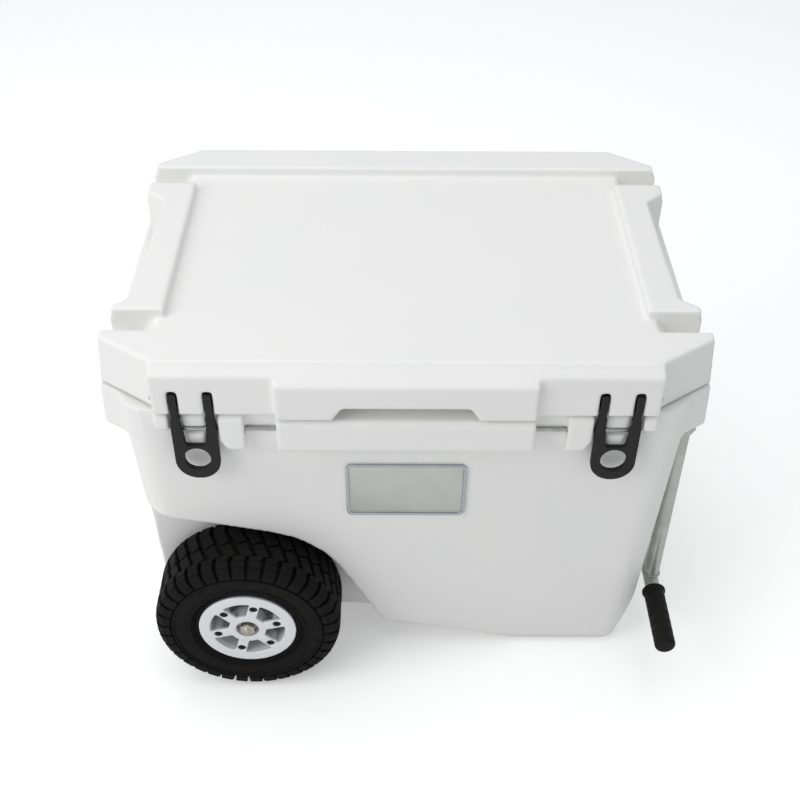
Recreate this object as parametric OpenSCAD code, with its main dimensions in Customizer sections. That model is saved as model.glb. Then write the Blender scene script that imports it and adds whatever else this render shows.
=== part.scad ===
// Hard cooler on wheels: a foam-filled tub and lid, two off-road wheels and a swing-down tow handle.
// X runs along the tub from the wheels to the tow handle, Y from front to back, and Z is up.
// The origin is on the ground under the middle of the cooler. All sizes are in millimetres.

/* [Tub] */
// Height of the rim's top face above the ground
rim_top = 442.5; // [435:0.5:450]
// Length of the tub's walls just under the rim
tub_length = 632; // [620:2:640]
// Width of the tub's walls at the rim
tub_width = 444; // [440:1:448]
// How far each end wall leans in from rim to floor
end_draft = 12; // [6:1:16]
// How far the front and back walls lean in from rim to floor
front_draft = 36; // [30:1:40]
// Radius of the tub's upright corners
corner_r = 38; // [30:1:44]
// Overall length over the rim
rim_length = 684; // [682:1:690]
// Height of the rim's lower edge
rim_low = 383; // [378:1:390]
// Thickness of the moulded skin
skin = 4; // [3.5:0.5:5]
// Length of the cold space
cavity_length = 524; // [500:2:530]
// Width of the cold space
cavity_width = 344; // [330:2:350]
// Height of the cold space's floor
floor_z = 62; // [60:1:70]

/* [Lid] */
// Gap between the rim and the lid
lid_gap = 3; // [2:0.5:4]
// Height of the lid's flat top panel
panel_z = 508; // [504:1:512]
// How far the rails stand above the panel
rail_rise = 11; // [8:1:14]
// Length over the lid's front corners
lid_length = 662; // [656:1:664]
// Width of the lid at its top edge
lid_width = 436; // [430:1:438]
// How far the lid can open
lid_open = 105; // [90:1:110]

/* [Latches] */
// Distance of each latch from the middle
latch_x = 229; // [226:1:232]
// Width of a latch across its ring
latch_width = 50; // [48:1:51]
// Thickness of a latch
latch_thick = 7; // [6:0.5:8]
// Height of the latch pivot
latch_pivot_z = 461; // [460:0.5:462]

/* [Wheels] */
// Distance of the axle from the middle, towards the wheel end
axle_x = -193; // [-196:1:-190]
// Outer radius of a tyre
tyre_r = 114.3; // [112:0.1:116]
// Width of a tyre
tyre_width = 86; // [80:1:88]
// Distance from the middle of the cooler to the middle of each wheel
wheel_y = 215; // [214:0.5:216]
// Outer radius of a rim
wheel_rim_r = 60; // [58:0.5:62]

/* [Tow handle] */
// Height of the handle's pivot
pivot_z = 364; // [360:1:366]
// Distance of the handle's plane from the middle
handle_x = 327; // [326:0.5:327]
// Distance of each leg from the middle
leg_y = 146; // [140:1:150]
// Outer diameter of the handle's tube
handle_tube = 19; // [18:0.5:19]
// Height of the cross tube when the handle hangs
cross_z = 90; // [85:1:100]
// Distance from the middle to the end of each grip
grip_end = 262; // [255:1:265]

/* [Hidden] */
$fn = 64;
level = 0.5;                   // thickness of the thin levels that a hull joins

white = "#ECECE8";
foam_yellow = "#E8D9A8";
latch_black = "#1C1D1B";
steel = "#B9BBBC";
rubber_black = "#202020";
rim_silver = "#C9CCD3";

lid_low = rim_top + lid_gap;
rail_top = panel_z + rail_rise;
far = 420;                     // beyond every outline, for cuts

// Tub outline at a height
function tub_hx(z) = tub_length/2 - end_draft*(rim_top - z)/rim_top;
function tub_hy(z) = tub_width/2 - front_draft*(rim_top - z)/rim_top;
wall_tilt = atan(front_draft/rim_top);
bottom_r = 20;                 // rounding along the bottom edges

// Wheel arch: a circle round the tyre with a line that leaves it on each side
arch_r = 125;
arch_left = 77.3;              // angle where the upper line leaves the circle
arch_right = 25;               // angle where the lower line leaves it
recess_y = 166;                // wall behind the wheels
arch_top_z = 282;              // floor of the cold space above the arches
axle_floor_z = 160;            // floor of the cold space above the axle

// Lid details
strip_back = -162.5;           // back edge of the front strip
rail_front = -141;
rail_back = 132;
rear_rail_front = 167;
rail_outer = 322;
rail_inner = 264;
groove_depth = 20;
groove_in = 290;               // where the strap groove's floor ends
groove_ramp = 18;
block_face = -232;             // end blocks on the lid's front
centre_face = -241;            // centre block on the lid's front
centre_half = 139;
block_end = 271;
notch_in = 302;
plug_depth = 12;
plug_gap = 4;

// Hinge at the back
hinge_y = 232;
hinge_z = 441;
hinge_x = 190;
knuckle_r = 9;
hinge_rod_r = 3;
run = 0.05;                    // radial clearance of a turning fit

// Latches and keepers
latch_back = -226.3;
latch_front = latch_back - latch_thick;
pin_y = -220;
pin_r = 3;
hub_r = 8;
arm_w = 8.5;
arm_in = 14.5;
latch_top = 474;
ring_z = 378;
finger_r = 14;
finger_z = 382;
finger_step = 1.5;             // the finger hole is this much taller, up and down, than it is wide
crotch_z = 401.5;
keeper_y = -221.5;
keeper_z = 418;
keeper_r = 2.5;

// Wheel parts, measured along the axle from the wheel's middle, positive outwards
rim_half = 40.5;
disc_in = 35.5;
barrel_r = 50;
hub_outer_r = 21.5;
bearing_r = 17.5;
bearing_in = 21;
bearing_out = 32;
hub_hole_r = 14;
axle_r = 8;
thread_r = 5;
bolt_circle = 38;
bolt_r = 3;
boss_r = 6;
spoke_turn = -15;
spokes = 6;

// Tow handle
tube_r = handle_tube/2;
tube_wall = 2;
grip_r = 13;
flange_r = 15;
grip_start = 170;
pivot_r = 4;
bracket_wall = 306;            // bottom of the pocket behind each bracket
pocket = [330, rim_low];

// Drain, through the back wall near the handle end
drain_x = 205;
drain_z = 74;
drain_in = 152;                // inner end of the drain bush
drain_r = 14;

function arc(cx, cz, r, a0, a1, step = 6) = let(n = max(1, round(abs(a1 - a0)/step)))
    [for (i = [0:n]) let(a = a0 + (a1 - a0)*i/n) [cx + r*cos(a), cz + r*sin(a)]];
function rounded(hx, hy, r) = [for (k = [0:3], a = [0:15:90])
    [(k == 0 || k == 3 ? hx - r : r - hx) + r*cos(90*k + a), (k < 2 ? hy - r : r - hy) + r*sin(90*k + a)]];
function octagon(hx, hy, cx, cy) = [[hx, cy - hy], [hx, hy - cy], [hx - cx, hy], [cx - hx, hy],
    [-hx, hy - cy], [-hx, cy - hy], [cx - hx, -hy], [hx - cx, -hy]];

module slab(points, z0, z1) {
    translate([0, 0, z0]) linear_extrude(z1 - z0) polygon(points);
}
module along_x(points, x0, x1) {
    translate([x0, 0, 0]) rotate([90, 0, 90]) linear_extrude(x1 - x0) polygon(points);
}
module along_y(points, y0, y1) {
    translate([0, y1, 0]) rotate([90, 0, 0]) linear_extrude(y1 - y0) polygon(points);
}
module block(x, y, z) {
    translate([x[0], y[0], z[0]]) cube([x[1] - x[0], y[1] - y[0], z[1] - z[0]]);
}
module bar_x(x0, x1, y, z, r) {
    translate([x0, y, z]) rotate([0, 90, 0]) cylinder(r = r, h = x1 - x0);
}
module bar_y(y0, y1, x, z, r) {
    translate([x, y1, z]) rotate([90, 0, 0]) cylinder(r = r, h = y1 - y0);
}
module both_ends() {
    children();
    mirror([1, 0, 0]) children();
}
module both_sides() {
    children();
    mirror([0, 1, 0]) children();
}

// ---- Tub ----

// One thin level of the tub's drafted body, pulled in by inset
module tub_level(z, inset) {
    slab(rounded(tub_hx(z) - inset, tub_hy(z) - inset, max(corner_r - inset, 8)), z, z + level);
}
module tub_block(g) {
    hull() {
        tub_level(g, bottom_r + g);
        tub_level(0.3*bottom_r + g, 0.3*bottom_r + g);
        tub_level(bottom_r + g, g);
        tub_level(rim_top - g - level, g);
    }
}
// Space taken from the tub round each wheel, grown by g
module wheel_arch(g) {
    lip = arc(axle_x, tyre_r, arch_r + g, arch_left, arch_right);
    rise = (lip[0][0] + far)/tan(arch_left);
    drop = (lip[len(lip) - 1][1] + bottom_r)*tan(arch_right);
    outline = concat([[-far, -bottom_r], [-far, lip[0][1] + rise]], lip,
        [[lip[len(lip) - 1][0] + drop, -bottom_r]]);
    both_sides() along_y(outline, recess_y - g, far);
}
// Ground clearance under the wheel end and the bevel at the handle end, grown by g
module underside(g) {
    translate([0, 0, g]) along_y([[-far, -bottom_r], [158, -bottom_r], [158, 0], [102, 26], [-32, 55],
        [-60, 58], [-far, 58]], -far, far);
    translate([-g, 0, 0]) along_y([[268, -bottom_r], [272, 0], [311, 110], [far, 130],
        [far, -bottom_r]], -far, far);
}
module bracket_pockets(g) {
    both_sides() block([bracket_wall - g, far], [leg_y - 24 - g, leg_y + 24 + g], [pocket[0] - g, pocket[1]]);
}
module tub_body(g) {
    difference() {
        tub_block(g);
        wheel_arch(g);
        underside(g);
        bracket_pockets(4*g);
    }
}
// One level of the cold space, from x0 to the handle end
module cold_level(x0, half_width, z0, g) {
    half = (cavity_length/2 - x0)/2;
    translate([x0 + half, 0, 0]) slab(rounded(half + g, half_width + g, 30 + g), z0 - g, rim_top + 1);
}
// Cold space: deepest at the handle end, stepping up over the axle and the wheels
module cold_space(g) {
    cold_level(-cavity_length/2, cavity_width/2, arch_top_z, g);
    cold_level(-24, cavity_width/2 - 14, floor_z + 38, g);
    cold_level(50, cavity_width/2 - 14, floor_z, g);
    translate([-cavity_length/2 + 170, 0, 0]) slab(rounded(160 + g, 122 + g, 24 + g), axle_floor_z - g,
        rim_top + 1);
}
module rim_band() {
    low_y = tub_hy(rim_low) + 0.4;
    intersection() {
        hull() {
            slab(octagon(rim_length/2, low_y, 70, 45), rim_low, rim_low + level);
            slab(octagon(rim_length/2 - 4, tub_width/2, 67, 46), rim_top - level, rim_top);
        }
        difference() {
            block([-far, far], [-far, far], [rim_low, rim_top]);
            block([15 - tub_length/2, tub_length/2 - 15], [30 - tub_width/2, tub_width/2 - 30], [0, far]);
        }
    }
}
module front_bosses() {
    chamfer = 5;
    // One boss as seen from the side, with its top edge sloped back
    module boss(x0, x1, z0, face) {
        along_x([[-210, z0], [face, z0], [face, rim_top - chamfer], [face + chamfer, rim_top], [-210, rim_top]],
            x0, x1);
    }
    both_ends() {
        boss(255.5, block_end, 424, block_face);
        difference() {
            boss(175, 202.5, 395, block_face);
            along_y([[194, 394], [203, 408], [203, 394]], -far, 0);
        }
        difference() {
            boss(latch_x - 13, latch_x + 13, 396, latch_back + 0.3);
            boss_flanks();
        }
    }
    boss(-centre_half, centre_half, 401, centre_face);
}
// Sloped flanks of the boss that stands inside each latch
module boss_flanks() {
    for (side = [-1, 1])
        along_y([for (p = [[9, 395], [13, 428], [14, 428], [14, 395]]) [latch_x + side*p[0], p[1]]],
            -far, -tub_hy(crotch_z));
}
module tub_knuckles() {
    both_ends() for (side = [-1, 1]) {
        x0 = hinge_x + side*36 - 15;
        difference() {
            union() {
                bar_x(x0, x0 + 30, hinge_y, hinge_z, knuckle_r);
                along_x([[hinge_y - 16, 412], [hinge_y, 424], [hinge_y + knuckle_r, hinge_z],
                    [hinge_y - 16, hinge_z]], x0, x0 + 30);
            }
            bar_x(x0 - 1, x0 + 31, hinge_y, hinge_z, hinge_rod_r);
        }
    }
}
module tub_shell() {
    color(white) difference() {
        union() {
            tub_body(0);
            rim_band();
            front_bosses();
            tub_knuckles();
        }
        cold_space(0);
        foam_space();
        bar_y(-far, far, axle_x, tyre_r, axle_r);
        both_ends() {
            bar_x(centre_half - 12, 262, keeper_y, keeper_z, keeper_r);
            block([centre_half, 255.5], [latch_back, 1 - tub_hy(keeper_z)], [keeper_z - 5, keeper_z + 5]);
        }
        bar_y(drain_in, far, drain_x, drain_z, drain_r);
        bar_y(drain_seat, far, drain_x, drain_z, drain_flange_r + 0.5);
        both_sides() for (side = [-1, 1])
            bar_x(bracket_wall - 16, far, leg_y + side*17, 342, 2.5);
        // Room for the lid's middle knuckles
        both_ends() block([hinge_x - 21, hinge_x + 21], [220, far], [rim_low, far]);
    }
}
// The room between the skins, which the foam fills
module foam_space() {
    difference() {
        tub_body(skin);
        cold_space(skin);
        bar_y(-far, far, axle_x, tyre_r, axle_r + skin);
        bar_y(drain_in - skin, far, drain_x, drain_z, drain_flange_r + skin);
        block([-far, far], [-far, 26 - tub_width/2], [keeper_z - 14, far]);
    }
}
module tub_foam() {
    color(foam_yellow) foam_space();
}
module keeper_rods() {
    color(steel) both_ends() bar_x(centre_half - 12, 262, keeper_y, keeper_z, keeper_r);
}

// ---- Badge ----

module on_badge_spot() {
    badge_z = 316;
    translate([1, -tub_hy(badge_z), badge_z]) rotate([wall_tilt, 0, 0]) children();
}
module badge_frame() {
    color("#A9ADB0") on_badge_spot() difference() {
        along_y(rounded(69, 44, 8), -3.2, 0);
        along_y(rounded(65, 40, 5), -far, far);
    }
}
module badge_plate() {
    color("#B4B7B6") on_badge_spot() along_y(rounded(65, 40, 5), -2, 0);
}

// ---- Drain ----

drain_face = tub_hy(drain_z);
drain_flange_r = drain_r + 5;
drain_seat = drain_face - 1.8;   // flat cut into the sloping wall for the flange
module drain_bush() {
    color(latch_black) difference() {
        union() {
            bar_y(drain_in, drain_face + 1, drain_x, drain_z, drain_r);
            bar_y(drain_seat, drain_face + 4, drain_x, drain_z, drain_flange_r);
        }
        bar_y(drain_in - 1, drain_face + 5, drain_x, drain_z, drain_r - 4);
    }
}
module drain_washer() {
    color(rubber_black) difference() {
        bar_y(drain_face + 4, drain_face + 6, drain_x, drain_z, drain_r);
        bar_y(drain_face + 3, drain_face + 7, drain_x, drain_z, drain_r - 3.5);
    }
}
module drain_plug() {
    color(latch_black) {
        bar_y(drain_face - 20, drain_face + 6.3, drain_x, drain_z, drain_r - 4 - run);
        bar_y(drain_face + 6.3, drain_face + 11, drain_x, drain_z, drain_r + 2);
        block([drain_x - 3, drain_x + 3], [drain_face + 10, drain_face + 19], [drain_z - 13, drain_z + 13]);
    }
}

// ---- Tow handle ----

module handle_brackets() {
    color(rim_silver) both_sides() difference() {
        union() {
            block([bracket_wall, bracket_wall + 4], [leg_y - 23, leg_y + 23], [332, 381]);
            for (side = [-1, 1]) {
                y0 = leg_y + side*12.5 - 2;
                along_y([[bracket_wall + 2, 348], [handle_x + 4, 352], [handle_x + 11, pivot_z],
                    [handle_x + 4, 374], [bracket_wall + 2, 378]], y0, y0 + 4);
            }
        }
        bar_y(leg_y - 20, leg_y + 20, handle_x, pivot_z, pivot_r);
        for (side = [-1, 1])
            bar_x(bracket_wall - 1, bracket_wall + 5, leg_y + side*17, 342, 2.5);
    }
}
module bracket_screws() {
    color(steel) both_sides() for (side = [-1, 1]) {
        bar_x(bracket_wall - 15, bracket_wall + 4, leg_y + side*17, 342, 2.5);
        bar_x(bracket_wall + 4, bracket_wall + 6.5, leg_y + side*17, 342, 4.5);
    }
}
module handle_pivot_bolts() {
    color(steel) both_sides() {
        bar_y(leg_y - 22, leg_y + 14.5, handle_x, pivot_z, pivot_r);
        bar_y(leg_y + 14.5, leg_y + 18, handle_x, pivot_z, 6.5);
    }
}
module pivot_lock_nuts() {
    color(steel) both_sides() difference() {
        translate([handle_x, leg_y - 14.5, pivot_z]) rotate([90, 0, 0]) cylinder(r = 7.5, h = 6, $fn = 6);
        bar_y(leg_y - 21, leg_y - 14, handle_x, pivot_z, pivot_r);
    }
}
module handle_frame() {
    eye = tube_r + 1.5;
    color(rim_silver) difference() {
        union() {
            both_sides() {
                translate([handle_x, leg_y, cross_z]) cylinder(r = tube_r, h = pivot_z - cross_z);
                translate([handle_x, leg_y, pivot_z]) sphere(r = tube_r);
            }
            bar_y(6 - grip_end, grip_end - 6, handle_x, cross_z, tube_r);
        }
        bar_y(-far, far, handle_x, cross_z, tube_r - tube_wall);
        both_sides() {
            translate([handle_x, leg_y, cross_z + tube_r])
                cylinder(r = tube_r - tube_wall, h = pivot_z - cross_z - tube_r - eye - 4);
            bar_y(leg_y - tube_r - 1, leg_y + tube_r + 1, handle_x, pivot_z, pivot_r + 2);
        }
    }
}
module handle_bushes() {
    color(latch_black) both_sides() difference() {
        bar_y(leg_y - tube_r - 0.5, leg_y + tube_r + 0.5, handle_x, pivot_z, pivot_r + 2);
        bar_y(leg_y - tube_r - 1, leg_y + tube_r + 1, handle_x, pivot_z, pivot_r + run);
    }
}
// Rubber sleeve with a flange at its inner end and a closed outer end
module grip() {
    color(rubber_black) difference() {
        union() {
            bar_y(grip_start, grip_end - 4, handle_x, cross_z, grip_r);
            bar_y(grip_end - 4, grip_end, handle_x, cross_z, grip_r - 2);
            bar_y(grip_start, grip_start + 4, handle_x, cross_z, flange_r);
        }
        bar_y(0, grip_end - 6, handle_x, cross_z, tube_r);
    }
}
module grip_rear() { grip(); }
module grip_front() { mirror([0, 1, 0]) grip(); }

// ---- Lid ----

module lid_block(g) {
    hull() {
        slab(octagon(lid_length/2 + 6 - g, 220 - g, 66, 46), lid_low + g, lid_low + g + level);
        slab(octagon(lid_length/2 - g, lid_width/2 - g, 62, 42), panel_z - g - level, panel_z - g);
    }
}
// Hand hold cut in from each end, grown by g
module lid_notches(g) {
    both_ends() slab([[rail_outer - 0.5, 108 + g], [notch_in - 2 - g, 88 + g], [notch_in - g, -115 - g],
        [rail_outer - 0.5, -131.5 - g], [far, -131.5 - g], [far, 108 + g]], lid_low - 40, rail_top + 1);
    both_ends() slab([[rail_outer + 2 - g, strip_back - g], [far, strip_back - g], [far, far],
        [rail_outer + 2 - g, far]], lid_low - 40, rail_top + 1);
}
module strap_grooves(g) {
    ramp = concat([[far, panel_z - groove_depth - g]], [[groove_in - g, panel_z - groove_depth - g]],
        [[groove_in - groove_ramp - g, panel_z], [groove_in - groove_ramp - g, far*2], [far, far*2]]);
    both_ends() {
        along_y(ramp, strip_back - g, rail_front + g);
        along_y(ramp, rail_back - g, rear_rail_front + g);
    }
}
module rails() {
    both_ends() slab([[rail_inner, rail_front], [rail_outer, rail_front], [rail_outer, rail_back],
        [rail_inner, rail_back]], panel_z - 1, rail_top);
    slab([[-319.5, rear_rail_front], [319.5, rear_rail_front], [319.5, 180.5], [266, 217.5],
        [-266, 217.5], [-319.5, 180.5]], panel_z - 1, rail_top);
}
// Blocks on the lid's front edge, under one plane that slopes down from the panel
module front_blocks() {
    slope = 0.72;
    slope_start = 2 - lid_width/2;
    function slope_z(y) = panel_z - slope*(slope_start - y);
    along_x([[-200, lid_low], [block_face, lid_low], [block_face, slope_z(block_face)],
        [slope_start, panel_z], [-200, panel_z - 2]], -block_end, block_end);
    along_x([[-225, lid_low], [centre_face, lid_low], [centre_face, slope_z(centre_face)],
        [-225, slope_z(-225)]], -centre_half, centre_half);
}
module latch_slots() {
    both_ends() for (side = [-1, 1]) {
        x0 = latch_x + side*(arm_in + arm_w/2) - arm_w/2 - 1;
        block([x0, x0 + arm_w + 2], [-far, pin_y], [lid_low - 1, latch_top + 1.5]);
        bar_x(x0, x0 + arm_w + 2, pin_y, latch_pivot_z, 19.5);
        block([x0, x0 + arm_w + 2], [pin_y, pin_y + 12], [lid_low - 1, latch_pivot_z]);
    }
}
module lid_knuckles() {
    both_ends() difference() {
        union() {
            bar_x(hinge_x - 20.5, hinge_x + 20.5, hinge_y, hinge_z, knuckle_r - 0.5);
            along_x([[210, lid_low + 0.5], [hinge_y, hinge_z + 2], [hinge_y + 8, hinge_z + 3],
                [216, 470], [210, 470]], hinge_x - 20.5, hinge_x + 20.5);
        }
        bar_x(hinge_x - 22, hinge_x + 22, hinge_y, hinge_z, hinge_rod_r + run);
    }
}
module gasket_groove(z0, z1) {
    difference() {
        slab(rounded(280, 190, 36), z0, z1);
        slab(rounded(272, 182, 30), z0 - 1, z1 + 1);
    }
}
module lid_shell() {
    color(white) difference() {
        union() {
            lid_block(0);
            rails();
            front_blocks();
            slab(rounded(cavity_length/2 - plug_gap, cavity_width/2 - plug_gap, 26),
                rim_top - plug_depth, lid_low + 1);
            lid_knuckles();
        }
        lid_notches(0);
        strap_grooves(0);
        latch_slots();
        // Finger notch under the centre block
        along_y([[-79, lid_low - 1], [-79, lid_low], [-68, 462], [68, 462], [79, lid_low], [79, lid_low - 1]],
            -far, 14 - tub_width/2);
        both_ends() bar_x(latch_x - 32, 290, pin_y, latch_pivot_z, pin_r);
        gasket_groove(lid_low - 1, lid_low + 4);
        lid_foam_space();
    }
}
module lid_foam_space() {
    difference() {
        intersection() {
            lid_block(skin);
            block([-far, far], [-194, far], [lid_low + 7, far*2]);
        }
        lid_notches(skin);
        strap_grooves(skin);
    }
}
module lid_foam() {
    color(foam_yellow) lid_foam_space();
}
module lid_gasket() {
    color("#9A9C9B") gasket_groove(rim_top + 0.3, lid_low + 4);
}
module latch_pins() {
    color(steel) both_ends() bar_x(latch_x - 32, 274, pin_y, latch_pivot_z, pin_r);
}
module hinge_rods() {
    color(steel) both_ends() bar_x(hinge_x - 51, hinge_x + 51, hinge_y, hinge_z, hinge_rod_r);
}

// ---- Latches ----

function mirrored(points) = concat(points, [for (i = [len(points) - 1:-1:0]) [-points[i][0], points[i][1]]]);
module latch(x) {
    outer = latch_width/2;
    color(latch_black) difference() {
        translate([x, 0, 0]) difference() {
            union() {
                along_y(concat(arc(0, ring_z, outer, 180, 360), [[outer, 428], [arm_in + arm_w, 446],
                    [arm_in + arm_w, latch_top], [-arm_in - arm_w, latch_top], [-arm_in - arm_w, 446],
                    [-outer, 428]]), latch_front, latch_back);
                for (side = [-1, 1]) {
                    x0 = side*(arm_in + arm_w/2) - arm_w/2;
                    bar_x(x0, x0 + arm_w, pin_y, latch_pivot_z, hub_r);
                    along_x([[latch_back - 1, 452], [pin_y, latch_pivot_z - hub_r], [pin_y, latch_pivot_z + hub_r],
                        [latch_back - 1, latch_top]], x0, x0 + arm_w);
                }
            }
            // Fork opening, with a small point on each arm at the rim's level
            along_y(mirrored([[8, crotch_z], [10.5, crotch_z + 2], [13.8, 434], [13.8, 437], [12.8, 440],
                [arm_in, 444], [arm_in, far*2]]), -far, 0);
            for (step = [-1, 1]) bar_y(-far, 0, 0, finger_z + step*finger_step, finger_r);
        }
        bar_x(x - far, x + far, pin_y, latch_pivot_z, pin_r + run);
    }
}
module latch_left() { latch(-latch_x); }
module latch_right() { latch(latch_x); }

// ---- Axle ----

washer_in = 32.2;
module axle() {
    shoulder = wheel_y + washer_in;
    color(steel) {
        bar_y(-shoulder, shoulder, axle_x, tyre_r, axle_r);
        both_sides() bar_y(shoulder, shoulder + 12.5, axle_x, tyre_r, thread_r);
    }
}
module axle_washers() {
    y0 = wheel_y + washer_in;
    color(steel) both_sides() difference() {
        bar_y(y0, y0 + 2, axle_x, tyre_r, 10.5);
        bar_y(y0 - 1, y0 + 3, axle_x, tyre_r, thread_r);
    }
}
module axle_nuts() {
    y0 = wheel_y + washer_in + 2;
    color(steel) both_sides() difference() {
        translate([axle_x, y0 + 8, tyre_r]) rotate([90, 0, 0]) cylinder(r = 9.8, h = 8, $fn = 6);
        bar_y(y0 - 1, y0 + 9, axle_x, tyre_r, thread_r);
    }
}

// ---- Wheels ----

// Stands a part that was drawn round the Z axis at the rear wheel
module at_wheel() {
    translate([axle_x, wheel_y, tyre_r]) rotate([-90, 0, 0]) children();
}
module ring(r0, r1, s0, s1) {
    translate([0, 0, s0]) difference() {
        cylinder(r = r1, h = s1 - s0);
        translate([0, 0, -1]) cylinder(r = r0, h = s1 - s0 + 2);
    }
}
module tyre() {
    half = tyre_width/2;
    upper = [[51, 20], [51, 35.4], [60.5, 35.4], [62, 37], [74, half - 1], [88, half], [100, half - 1],
        [108, half - 4], [112.5, half - 9], [tyre_r, half - 15]];
    inner = [[tyre_r - 11, half - 20], [103, half - 12], [92, half - 7], [78, half - 7], [66, half - 10],
        [60, 26], [58, 20]];
    color(rubber_black) at_wheel() rotate_extrude($fn = 96) polygon(concat(upper,
        [for (i = [len(upper) - 1:-1:0]) [upper[i][0], -upper[i][1]]],
        [for (i = [len(inner) - 1:-1:0]) [inner[i][0], -inner[i][1]]], inner));
}
module inner_tube() {
    color("#2A2A2A") at_wheel() difference() {
        union() {
            rotate_extrude($fn = 96) translate([80, 0]) circle(r = 21);
            rotate([0, 0, -spoke_turn]) translate([36, 0, 0]) {
                rotate([0, 90, 0]) cylinder(r = 3, h = 30);
                translate([0, 0, -3]) cylinder(r = 3, h = 33);
            }
        }
        rotate_extrude($fn = 96) translate([80, 0]) circle(r = 19);
        rotate([0, 0, -spoke_turn]) translate([36, 0, 0]) rotate([0, 90, 0]) cylinder(r = 1.2, h = 30);
        rotate([0, 0, -spoke_turn]) translate([36, 0, -1]) cylinder(r = 1.2, h = 40);
    }
}
module window_cut() {
    gap = 13;
    difference() {
        rotate_extrude(angle = 360/spokes, $fn = 96) translate([hub_outer_r + 1.5, 0])
            square([46 - hub_outer_r - 1.5, 60]);
        for (turn = [0, 360/spokes]) rotate([0, 0, turn]) translate([0, -gap/2, -1]) cube([60, gap, 70]);
    }
}
// Half of a split rim: bead seat, flange, spoked disc, hub and bolt columns
module rim_half_part() {
    difference() {
        union() {
            ring(45.5, barrel_r, 0.2, rim_half);
            ring(barrel_r - 1, wheel_rim_r, 36, rim_half);
            ring(hub_hole_r, barrel_r - 1, disc_in, rim_half);
            ring(hub_hole_r - 1, hub_outer_r, 20, rim_half);
            for (i = [0:spokes - 1]) rotate([0, 0, spoke_turn + i*360/spokes]) translate([bolt_circle, 0, 0.2])
                cylinder(r = boss_r, h = rim_half - 1);
        }
        for (i = [0:spokes - 1]) rotate([0, 0, spoke_turn + i*360/spokes]) {
            translate([0, 0, disc_in - 1]) window_cut();
            translate([bolt_circle, 0, -1]) cylinder(r = bolt_r, h = far);
            translate([bolt_circle, 0, rim_half - 5]) cylinder(r = 5.1, h = far);
        }
        translate([0, 0, -1]) cylinder(r = bearing_r, h = bearing_out + 1);
        cylinder(r = hub_hole_r, h = far);
        rotate([0, 0, -spoke_turn]) translate([36, 0, 0]) rotate([0, 90, 0]) cylinder(r = 4, h = 30);
    }
}
module rim_face() { color(rim_silver) at_wheel() rim_half_part(); }
module rim_back() {
    color(rim_silver) at_wheel() difference() {
        mirror([0, 0, 1]) rim_half_part();
        rotate([0, 0, -spoke_turn]) translate([36, 0, -4]) cylinder(r = 4, h = 10);
    }
}
module rim_bolts() {
    color(steel) at_wheel() for (i = [0:spokes - 1])
        rotate([0, 0, spoke_turn + i*360/spokes]) translate([bolt_circle, 0, 0]) {
            translate([0, 0, 3 - rim_half]) cylinder(r = bolt_r, h = 2*rim_half - 6);
            translate([0, 0, rim_half - 5]) difference() {
                cylinder(r = 4.8, h = 3.5);
                translate([0, 0, 1.5]) cylinder(r = 2.6, h = 5, $fn = 6);
            }
        }
}
module rim_nuts() {
    color(steel) at_wheel() for (i = [0:spokes - 1])
        rotate([0, 0, spoke_turn + i*360/spokes]) translate([bolt_circle, 0, 1.5 - rim_half]) difference() {
            cylinder(r = 4.9, h = 3.5, $fn = 6);
            translate([0, 0, -1]) cylinder(r = bolt_r, h = 6);
        }
}
module bearings() {
    color(steel) at_wheel() for (side = [0, 1]) mirror([0, 0, side])
        ring(axle_r + run, bearing_r, bearing_in, bearing_out);
}
module hub_spacer() {
    color(steel) at_wheel() ring(axle_r + run, 11, -bearing_in, bearing_in);
}
module front_wheel() { mirror([0, 1, 0]) children(); }
module tyre_front() { front_wheel() tyre(); }
module inner_tube_front() { front_wheel() inner_tube(); }
module rim_face_front() { front_wheel() rim_face(); }
module rim_back_front() { front_wheel() rim_back(); }
module rim_bolts_front() { front_wheel() rim_bolts(); }
module rim_nuts_front() { front_wheel() rim_nuts(); }
module bearings_front() { front_wheel() bearings(); }
module hub_spacer_front() { front_wheel() hub_spacer(); }
module tyre_rear() { tyre(); }
module inner_tube_rear() { inner_tube(); }
module rim_face_rear() { rim_face(); }
module rim_back_rear() { rim_back(); }
module rim_bolts_rear() { rim_bolts(); }
module rim_nuts_rear() { rim_nuts(); }
module bearings_rear() { bearings(); }
module hub_spacer_rear() { hub_spacer(); }

tub_shell();
tub_foam();
keeper_rods();
badge_frame();
badge_plate();
drain_bush();
drain_washer();
drain_plug();
handle_brackets();
bracket_screws();
handle_pivot_bolts();
pivot_lock_nuts();
axle();
axle_washers();
axle_nuts();
hinge_rods();
lid_shell();
lid_foam();
lid_gasket();
latch_pins();
latch_left();
latch_right();
handle_frame();
handle_bushes();
grip_front();
grip_rear();
tyre_front();
inner_tube_front();
rim_face_front();
rim_back_front();
rim_bolts_front();
rim_nuts_front();
bearings_front();
hub_spacer_front();
tyre_rear();
inner_tube_rear();
rim_face_rear();
rim_back_rear();
rim_bolts_rear();
rim_nuts_rear();
bearings_rear();
hub_spacer_rear();
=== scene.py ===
"""Hard cooler on wheels: moulded shells, treaded tyres and metal fittings, modelled round the CAD frame."""

import logging
import math
from dataclasses import dataclass
from enum import Enum
from typing import Sequence

import bpy
from mathutils import Euler, Matrix, Vector


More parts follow.
